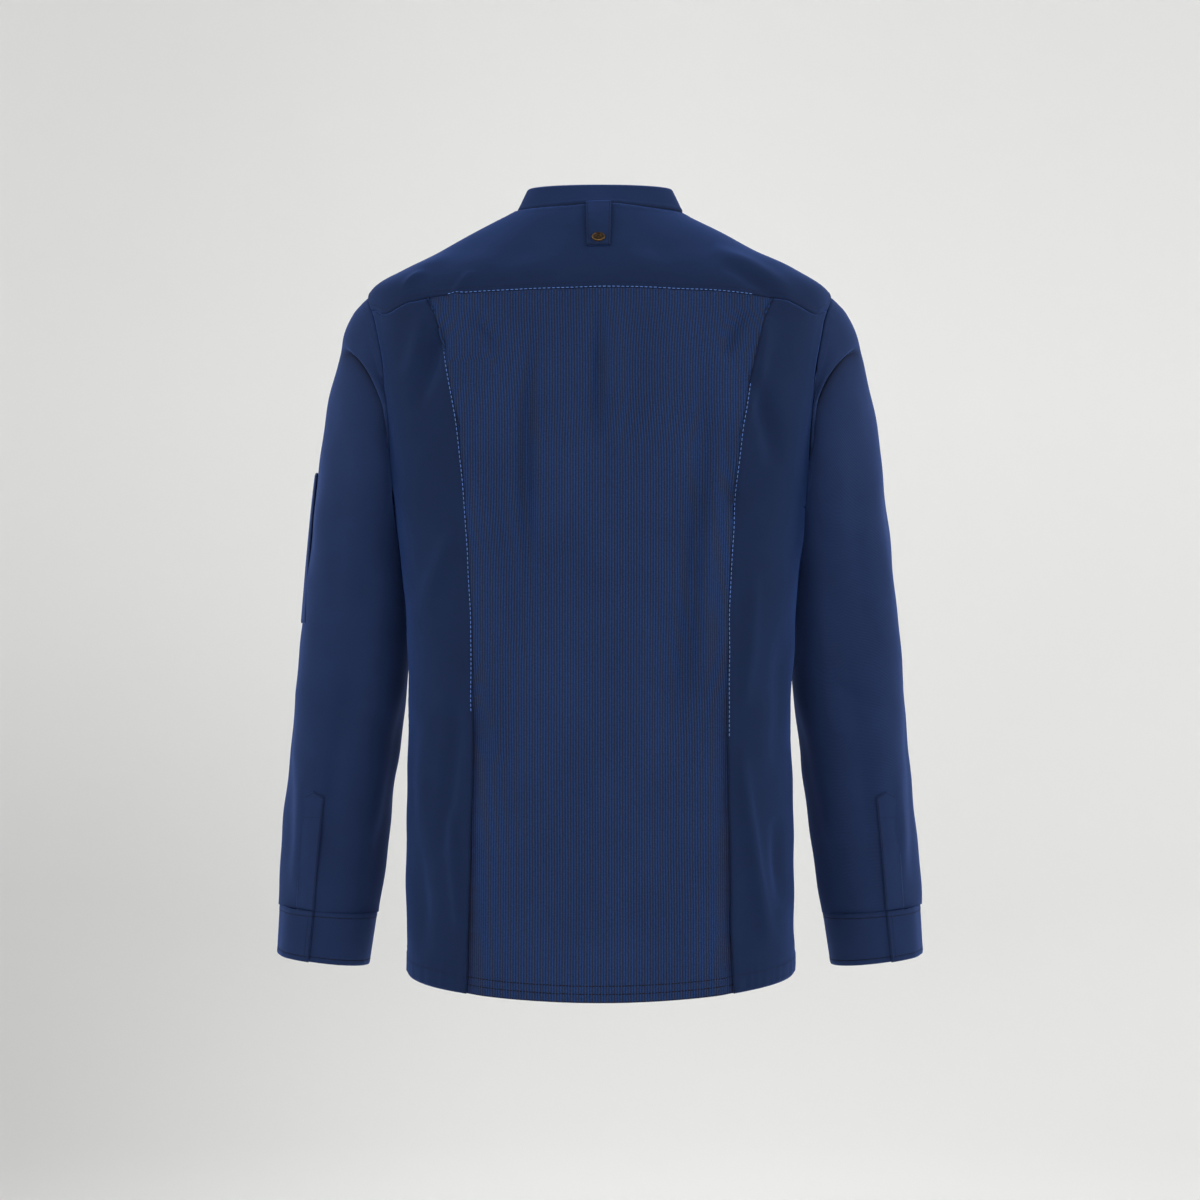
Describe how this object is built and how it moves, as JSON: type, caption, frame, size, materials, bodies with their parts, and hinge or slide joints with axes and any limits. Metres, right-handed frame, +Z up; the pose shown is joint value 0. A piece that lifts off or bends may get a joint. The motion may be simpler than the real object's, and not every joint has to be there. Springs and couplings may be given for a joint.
{
  "type": "chef jacket",
  "caption": "Long-sleeved jacket of woven cloth with a band collar, a yoke, a knit centre back panel, a loop at the nape, slit cuffs and a sleeve pocket, hollow as it is worn.",
  "frame": {"origin": "middle of the neck opening, at the height of the points where the shoulders meet the collar", "axes": "+Z up towards the collar, -Y out of the wearer's chest, +X towards the wearer's left arm"},
  "size_m": [0.6298, 0.2711, 0.7579],
  "materials": {
    "twill": "matt",
    "mesh": "matt",
    "brass": "aged"
  },
  "bodies": {
    "root": {"yoke": "twill", "back_centre": "mesh", "side_back_left": "twill", "side_back_right": "twill", "front_left": "twill", "front_right": "twill", "sleeve_left": "twill", "sleeve_right": "twill", "cuff_left": "twill", "cuff_right": "twill", "sleeve_placket_left": "twill", "sleeve_placket_right": "twill", "collar": "twill", "back_tab": "twill", "sleeve_pocket": "twill", "back_tab_stud": "brass", "collar_stud": "brass", "front_stud_1": "brass", "front_stud_2": "brass", "front_stud_3": "brass", "front_stud_4": "brass", "front_stud_5": "brass", "front_stud_6": "brass", "front_stud_7": "brass"}
  },
  "joints": []
}
